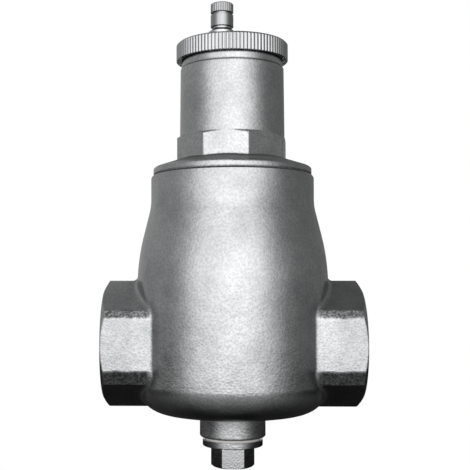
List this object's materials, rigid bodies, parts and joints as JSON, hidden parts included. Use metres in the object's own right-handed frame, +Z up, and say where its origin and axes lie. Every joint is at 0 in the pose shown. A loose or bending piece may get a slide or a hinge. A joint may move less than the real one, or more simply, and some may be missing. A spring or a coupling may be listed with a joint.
{
  "type": "air separator",
  "caption": "In-line brass air separator with hexagonal threaded ports, mesh cartridge, float-operated vent with knurled cover, and a drain plug.",
  "frame": {"origin": "where the axis of the pipe run crosses the axis of the column", "axes": "+X along the pipe run from inlet to outlet, +Z up towards the vent, -Y the front"},
  "size_m": [0.1224, 0.0916, 0.2238],
  "materials": {
    "shot_blasted_nickel": "nickel plated, shot blasted",
    "turned_nickel": "nickel plated, turned",
    "black_rubber": "matte",
    "white_gasket": "matte",
    "float_plastic": "moulded, matte",
    "moulded_nylon": "moulded, matte",
    "plain_brass": "machined",
    "stainless_steel": "bright"
  },
  "bodies": {
    "separator": {"separator_body": "shot_blasted_nickel", "mesh_outer": "stainless_steel", "mesh_middle": "stainless_steel", "mesh_inner": "stainless_steel", "mesh_core": "stainless_steel", "mesh_top_frame": "moulded_nylon", "mesh_bottom_frame": "moulded_nylon"},
    "vent_gasket": {"body_gasket": "black_rubber"},
    "vent": {"vent_body": "shot_blasted_nickel", "float_guide": "plain_brass"},
    "cover_ring": {"cover_seal": "black_rubber"},
    "cover": {"top_cover": "turned_nickel", "vent_nozzle": "turned_nickel", "lever_bracket": "stainless_steel", "lever_pin": "stainless_steel"},
    "cap_disc": {"cap_seal": "black_rubber"},
    "cap": {"vent_cap": "turned_nickel"},
    "drain_ring": {"drain_seal": "white_gasket"},
    "drain": {"drain_plug": "turned_nickel"},
    "float": {"float": "float_plastic", "float_link": "stainless_steel"},
    "lever": {"valve_lever": "stainless_steel"},
    "stem": {"valve_stem": "plain_brass", "valve_tip": "black_rubber"}
  },
  "joints": [
    {"name": "vent_body_lift", "type": "slide", "parent": "separator", "child": "vent_gasket", "axis": [0, 0, 1], "range_m": [0, 0.014]},
    {"name": "vent_body_turn", "type": "hinge", "parent": "vent_gasket", "child": "vent", "pos_m": [0, 0, 0.0809], "axis": [0, 0, 1], "range_deg": [0, 2520]},
    {"name": "cover_lift", "type": "slide", "parent": "vent", "child": "cover_ring", "axis": [0, 0, 1], "range_m": [0, 0.00525]},
    {"name": "cover_turn", "type": "hinge", "parent": "cover_ring", "child": "cover", "pos_m": [0, 0, 0.1418], "axis": [0, 0, 1], "range_deg": [0, 1260]},
    {"name": "cap_lift", "type": "slide", "parent": "cover", "child": "cap_disc", "axis": [0, 0, 1], "range_m": [0, 0.006]},
    {"name": "cap_turn", "type": "hinge", "parent": "cap_disc", "child": "cap", "pos_m": [-0.00484, 0, 0.161], "axis": [0, 0, 1], "range_deg": [0, 2160]},
    {"name": "plug_drop", "type": "slide", "parent": "separator", "child": "drain_ring", "axis": [0, 0, -1], "range_m": [0, 0.00816]},
    {"name": "plug_turn", "type": "hinge", "parent": "drain_ring", "child": "drain", "pos_m": [0, 0, -0.0442], "axis": [0, 0, -1], "range_deg": [0, 1620]},
    {"name": "float_rise", "type": "slide", "parent": "cover", "child": "float", "axis": [0, 0, 1], "range_m": [0, 0.006]},
    {"name": "lever_tilt", "type": "hinge", "parent": "cover", "child": "lever", "pos_m": [-0.012, 0, 0.1328], "axis": [0, -1, 0], "range_deg": [0, 14.33]},
    {"name": "valve_lift", "type": "slide", "parent": "cover", "child": "stem", "axis": [0, 0, 1], "range_m": [0, 0.0018]}
  ],
  "couplings": [
    {"joint": "vent_body_lift", "follows": "vent_body_turn", "m_per_rad": 0.00031831},
    {"joint": "cover_lift", "follows": "cover_turn", "m_per_rad": 0.00023873},
    {"joint": "cap_lift", "follows": "cap_turn", "m_per_rad": 0.00015915},
    {"joint": "plug_drop", "follows": "plug_turn", "m_per_rad": 0.00028871},
    {"joint": "lever_tilt", "follows": "float_rise", "rad_per_m": 41.667},
    {"joint": "valve_lift", "follows": "float_rise", "ratio": 0.29833}
  ]
}
